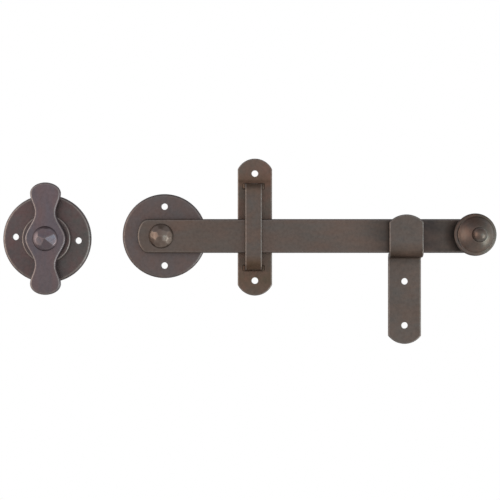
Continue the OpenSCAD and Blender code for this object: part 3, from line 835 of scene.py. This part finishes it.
def handle_outline():
    """The bow tie: a hub, a waist and a rounded lobe each way, blended by cosines."""
    reach, hub = HANDLE["height"] / 2, HANDLE["width"] / 2
    waist, lobe, waist_at, lobe_at = 7.9, 11.4, 19.6, 33.9
    quarter_line = [(lobe * math.cos(a), lobe_at + (reach - lobe_at) * math.sin(a))
                    for a in np.linspace(math.pi / 2, 0, 19)]
    for d in np.linspace(lobe_at, 0, 46)[1:]:
        if d < waist_at:
            share = (1 + math.cos(math.pi * d / waist_at)) / 2
            quarter_line.append((waist + (hub - waist) * share, d))
        else:
            share = (1 - math.cos(math.pi * (d - waist_at) / (lobe_at - waist_at))) / 2
            quarter_line.append((waist + (lobe - waist) * share, d))
    top_right = np.array(quarter_line)[::-1]
    top_left = top_right[::-1] * (-1, 1)
    bottom_left = top_right * (-1, -1)
    bottom_right = top_right[::-1] * (1, -1)
    loop = np.vstack([top_right[:-1], top_left[:-1], bottom_left[:-1], bottom_right[:-1]])
    return loop + (HANDLE["x"], HANDLE["z"])


def make_handle():
    back, front = HANDLE["back"], HANDLE["front"]
    edge, back_edge = 1.5, 0.6
    loops = [(handle_outline(), rounded_edge(back, front, edge, back_edge)),
             (slot_outline(HANDLE["x"], HANDLE["z"], TENON, TENON), plain_hole(back, front, 0.2))]
    forge("toggle_handle_forged", plate(loops, 8, grid=1.3), "handle", "toggle_handle", "toggle")


def make_toggle_dome():
    size = extent("toggle_dome")
    facets = [(-6, 24, 0.98), (50, 22, 0.86), (105, 20, 0.74), (205, 17, 0.6), (-62, 22, 0.86)]
    shape = hammered_dome(HANDLE["x"], HANDLE["z"], HANDLE["front"], size["width"] / 2,
                          size["front"] - HANDLE["front"], facets, softness=0.08)
    forge("toggle_dome_hammered", shape, "toggle_dome", "toggle_dome", "toggle")


def finish_small_parts():
    """The hidden working parts keep their CAD shapes and get machined finishes."""
    slots = {part["node"]: part["material_slot"] for part in frame["record"]["subparts"]}
    finishes = {"steel": STEEL, "bush_bronze": BUSH}
    for name, piece in frame["nodes"].items():
        finish = finishes.get(slots[name])
        if finish:
            for used in piece.material_slots:
                used.material = finish


make_rose("bar_rose", 90, 1, 0.45)
make_rose("toggle_rose", -3.4, 2, 1.0)
make_bar()
make_pivot_dome()
make_knob()
make_guide_plate()
make_strap()
make_catch()
make_collar()
make_handle()
make_toggle_dome()
finish_small_parts()


# Studio

MIDDLE = (0.06, 0, -0.01)
FLOOR_RADIUS = 8.5
FLOOR_LEVEL = -1.9

# Softboxes: name, place, width, height, radiance and colour
SOFTBOXES = [
    ("right_softbox", (1.05, -0.45, -0.50), 0.8, 0.8, 3.6, (0.82, 0.96, 1.0)),
    ("blue_softbox", (0.70, -0.85, -0.05), 0.18, 0.6, 4.0, (0.45, 0.82, 1.0)),
    ("left_softbox", (-1.10, -0.40, 0.05), 1.1, 1.2, 1.7, (1.0, 0.90, 0.80)),
]


def make_floor():
    """A wide pale floor, so far down that it stays below the camera's view."""
    bpy.ops.mesh.primitive_circle_add(vertices=180, radius=FLOOR_RADIUS, fill_type="NGON",
                                      location=(MIDDLE[0], 0, FLOOR_LEVEL))
    floor = bpy.context.object
    floor.name = "floor"
    material, tree, shader = new_material("pale_floor")
    place = add(tree, "ShaderNodeTexCoord").outputs["Object"]
    grain = noise_at(tree, place, 2, 3, 0.5, 4)
    tree.links.new(ramp(tree, grain, [(0.3, (0.93, 0.90, 0.85)), (0.7, (0.95, 0.92, 0.87))]),
                   shader.inputs["Base Color"])
    shader.inputs["Roughness"].default_value = 0.9
    floor.data.materials.append(material)


def make_light(name, place, width, height, radiance, colour):
    """A softbox that faces the object. Its strength is given as its brightness to look at."""
    data = bpy.data.lights.new(name, "AREA")
    data.shape = "RECTANGLE"
    data.size, data.size_y = width, height
    data.energy = radiance * width * height * math.pi
    data.color = colour
    light = bpy.data.objects.new(name, data)
    light.location = place
    light.rotation_euler = (Vector(MIDDLE) - Vector(place)).to_track_quat("-Z", "Y").to_euler()
    bpy.context.scene.collection.objects.link(light)


def make_world():
    """White behind the object. The light round it is even near its level, cool above and warm below."""
    world = bpy.data.worlds.new("studio")
    bpy.context.scene.world = world
    world.use_nodes = True
    tree = world.node_tree
    tree.nodes.clear()
    way = add(tree, "ShaderNodeTexCoord").outputs["Generated"]
    rise = scaled(tree, add(tree, "ShaderNodeSeparateXYZ", {0: way}).outputs["Z"], -1, 1, 0, 1)
    sky = ramp(tree, rise, [(0.0, (0.30, 0.24, 0.20)), (0.18, (0.55, 0.50, 0.47)), (0.32, 0.97),
                            (0.68, (0.96, 0.97, 1.0)), (0.86, (0.62, 0.68, 0.78)), (1.0, 0.3)])
    around = add(tree, "ShaderNodeBackground", {"Color": sky, "Strength": 0.97})
    behind = add(tree, "ShaderNodeBackground", {"Color": (1, 1, 1, 1), "Strength": 1.0})
    seen = add(tree, "ShaderNodeLightPath").outputs["Is Camera Ray"]
    both = add(tree, "ShaderNodeMixShader", {0: seen, 1: around.outputs[0], 2: behind.outputs[0]})
    add(tree, "ShaderNodeOutputWorld", {"Surface": both.outputs[0]})


def make_camera():
    data = bpy.data.cameras.new("camera")
    data.lens = CAMERA_LENS
    data.sensor_width = 36
    camera = bpy.data.objects.new("camera", data)
    camera.location = np.array(CAMERA_PLACE) * MM
    camera.rotation_euler = (math.pi / 2, 0, 0)
    bpy.context.scene.collection.objects.link(camera)
    bpy.context.scene.camera = camera


make_camera()
make_floor()
make_world()
for softbox in SOFTBOXES:
    make_light(*softbox)

bpy.context.scene.view_settings.view_transform = "Standard"
bpy.context.scene.view_settings.look = "None"
